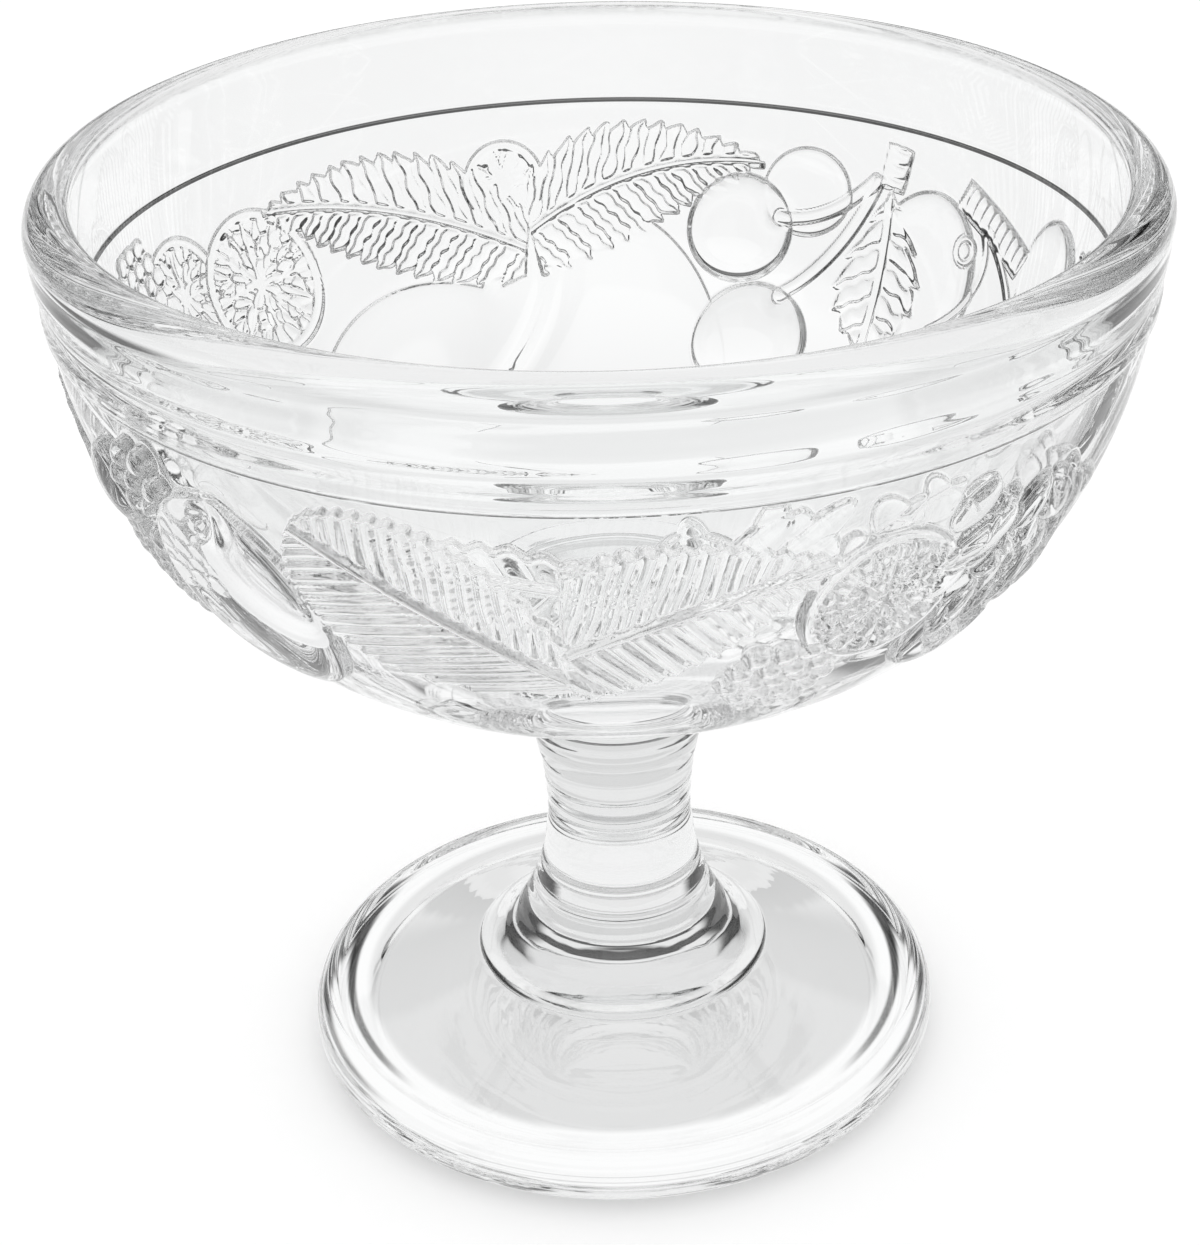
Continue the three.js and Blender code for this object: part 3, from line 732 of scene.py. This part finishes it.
def make_floor():
    """A large white floor that keeps the shadow of the glass, deepened by a painted contact shadow; to
    the glass it shows a painted pool of light with painted shadows round the foot.
    """
    mesh = bpy.data.meshes.new("floor")
    corners = [(x * FLOOR_SIZE, y * FLOOR_SIZE, 0.0) for x, y in ((-1, -1), (1, -1), (1, 1), (-1, 1))]
    mesh.from_pydata(corners, [], [(0, 1, 2, 3)])
    floor = bpy.data.objects.new("floor", mesh)
    bpy.context.scene.collection.objects.link(floor)
    material = bpy.data.materials.new("white_floor")
    material.use_nodes = True
    nodes, links = material.node_tree.nodes, material.node_tree.links
    nodes.remove(nodes["Principled BSDF"])
    geometry = nodes.new("ShaderNodeNewGeometry")
    split = nodes.new("ShaderNodeSeparateXYZ")
    links.new(geometry.outputs["Position"], split.inputs["Vector"])
    aside = combine(nodes, links, "ABSOLUTE", split.outputs["X"])
    length = nodes.new("ShaderNodeVectorMath")
    length.operation = "DISTANCE"
    length.inputs[1].default_value = FLOOR_CENTRE
    links.new(geometry.outputs["Position"], length.inputs[0])
    distance = length.outputs["Value"]
    path = nodes.new("ShaderNodeLightPath")

    def zone(source, levels):
        return map_range(nodes, links, source, levels)

    def times(*sources):
        return combine(nodes, links, "MULTIPLY", *sources)

    # Painted shadow under the foot, lifted for rays that have crossed the glass more than twice near the
    # middle
    deep = times(zone(path.outputs["Transmission Depth"], DEEP_VIEW), zone(distance, DEEP_REACH))
    under_painted_shadow = combine(nodes, links, "MAXIMUM", zone(distance, FLOOR_UNDER_PAINTED_SHADOW), deep)
    # Painted soft shadow on the floor round the glass
    shade = combine(nodes, links, "MAXIMUM", zone(distance, FLOOR_SHADE_START),
                    zone(distance, FLOOR_SHADE_END))
    # Painted contact shadow in a ring at the foot's left and right sides
    ring = times(zone(distance, FOOT_RING_PAINTED_SHADOW_START), zone(distance, FOOT_RING_PAINTED_SHADOW_END))
    flank_painted_shadow = times(zone(aside, FOOT_FLANK_PAINTED_SHADOW), ring)
    # Painted light: the level falls to painted shade at the sides, far and near, times the painted
    # shadows
    level = zone(aside, FLOOR_SIDES_PAINTED_SHADE)
    for other in (zone(split.outputs["Y"], FLOOR_FAR_PAINTED_SHADE), zone(split.outputs["Y"], FLOOR_NEAR_PAINTED_SHADE),
                  under_painted_shadow, shade, zone(flank_painted_shadow, REVERSED)):
        level = times(level, other)
    # Painted reflection: the level is raised for what the glass first mirrors
    level = with_bright_reflections(nodes, links, level)
    # Painted contact shadow: the white glow dims by occlusion near the glass, over the real diffuse
    # shadow
    contact = nodes.new("ShaderNodeAmbientOcclusion")
    contact.inputs["Distance"].default_value = CONTACT_REACH
    glow_with_painted_contact_shadow = map_range(nodes, links, contact.outputs["AO"], CONTACT_PAINTED_SHADOW)
    diffuse = nodes.new("ShaderNodeBsdfDiffuse")
    diffuse.inputs["Color"].default_value = FLOOR_GREY
    white = nodes.new("ShaderNodeEmission")
    links.new(glow_with_painted_contact_shadow, white.inputs["Color"])
    shadowed = nodes.new("ShaderNodeAddShader")
    links.new(diffuse.outputs["BSDF"], shadowed.inputs[0])
    links.new(white.outputs["Emission"], shadowed.inputs[1])
    emission = nodes.new("ShaderNodeEmission")
    links.new(level, emission.inputs["Color"])
    mix = nodes.new("ShaderNodeMixShader")
    links.new(glass_sees(nodes, links), mix.inputs["Fac"])
    links.new(shadowed.outputs["Shader"], mix.inputs[1])
    links.new(emission.outputs["Emission"], mix.inputs[2])
    links.new(mix.outputs["Shader"], nodes["Material Output"].inputs["Surface"])
    mesh.materials.append(material)


def make_world():
    """White to the camera and the floor; glass also sees darker walls at the sides and above."""
    world = bpy.data.worlds.new("studio")
    bpy.context.scene.world = world
    world.use_nodes = True
    nodes, links = world.node_tree.nodes, world.node_tree.links
    background = nodes["Background"]
    place = nodes.new("ShaderNodeTexCoord")
    split = nodes.new("ShaderNodeSeparateXYZ")
    links.new(place.outputs["Generated"], split.inputs["Vector"])
    aside = combine(nodes, links, "ABSOLUTE", split.outputs["X"])
    sides = map_range(nodes, links, aside, WORLD_SIDES)
    low = map_range(nodes, links, split.outputs["Z"], WORLD_LOW)
    behind = map_range(nodes, links, split.outputs["Z"], WORLD_BEHIND)
    top = map_range(nodes, links, split.outputs["Z"], WORLD_TOP)
    level = combine(nodes, links, "MAXIMUM", low, behind)
    level = combine(nodes, links, "MULTIPLY", sides, level)
    near = map_range(nodes, links, split.outputs["Y"], WORLD_NEAR)
    level = combine(nodes, links, "MULTIPLY", level, near)
    level = combine(nodes, links, "MAXIMUM", level, top)
    # Painted reflection: the level is raised for what the glass first mirrors
    level = with_bright_reflections(nodes, links, level)
    mix = nodes.new("ShaderNodeMix")
    mix.data_type = "RGBA"
    mix.inputs["A"].default_value = (1.0, 1.0, 1.0, 1.0)
    links.new(glass_sees(nodes, links), mix.inputs["Factor"])
    links.new(level, mix.inputs["B"])
    links.new(mix.outputs["Result"], background.inputs["Color"])
    background.inputs["Strength"].default_value = 1.0


# Camera, from the outlines in the photo

FRAME_LONG_SIDE = 1245.0
CAMERA_PLACE = (0.0, -246.3, 187.7)
CAMERA_PAN, CAMERA_TILT, CAMERA_ROLL = 2.037, 29.833, -0.595
CAMERA_FOCAL_PIXELS = 2660.7
CAMERA_CENTRE_SHIFT = (97.4, 33.4)
SENSOR = 36.0


def make_camera():
    """The camera at the photo's place, looking down into the bowl."""
    pan, tilt, roll = (math.radians(a) for a in (CAMERA_PAN, CAMERA_TILT, CAMERA_ROLL))
    forward = Vector((math.sin(pan) * math.cos(tilt), math.cos(pan) * math.cos(tilt), -math.sin(tilt)))
    level = forward.cross(Vector((0, 0, 1))).normalized()
    above = level.cross(forward)
    right = math.cos(roll) * level + math.sin(roll) * above
    up = -math.sin(roll) * level + math.cos(roll) * above
    data = bpy.data.cameras.new("camera")
    data.sensor_width = SENSOR
    data.lens = CAMERA_FOCAL_PIXELS / FRAME_LONG_SIDE * SENSOR
    data.shift_x = -CAMERA_CENTRE_SHIFT[0] / FRAME_LONG_SIDE
    data.shift_y = CAMERA_CENTRE_SHIFT[1] / FRAME_LONG_SIDE
    data.clip_start = 0.01
    camera = bpy.data.objects.new("camera", data)
    bpy.context.scene.collection.objects.link(camera)
    axes = Matrix((right, up, -forward)).transposed().to_4x4()
    camera.matrix_world = Matrix.Translation(Vector(CAMERA_PLACE) * MM) @ axes
    bpy.context.scene.camera = camera


joint = joint_material()
for piece, node, slot, tint, along_rim, across_rim, depth in (
    (make_bowl(), "bowl", "bowl_glass", 0.99, 90.0, 90.0, 0.02),
    (make_stem(), "stem", "stem_glass", 0.8, 90.0, 90.0, 0.02),
    (make_foot(), "foot", "foot_glass", 0.99, 30.0, 500.0, 0.03),
):
    piece.data.materials.append(glass_material("clear_" + node, tint, along_rim, across_rim, depth * MM))
    piece.data.materials.append(joint)
    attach(piece, "root")
    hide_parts(node)

make_floor()
make_world()
make_camera()
bpy.context.scene.view_settings.view_transform = "Standard"
# Light turns round inside solid glass many times before it leaves
bpy.context.scene.cycles.max_bounces = 32
bpy.context.scene.cycles.glossy_bounces = 24
bpy.context.scene.cycles.transmission_bounces = 32
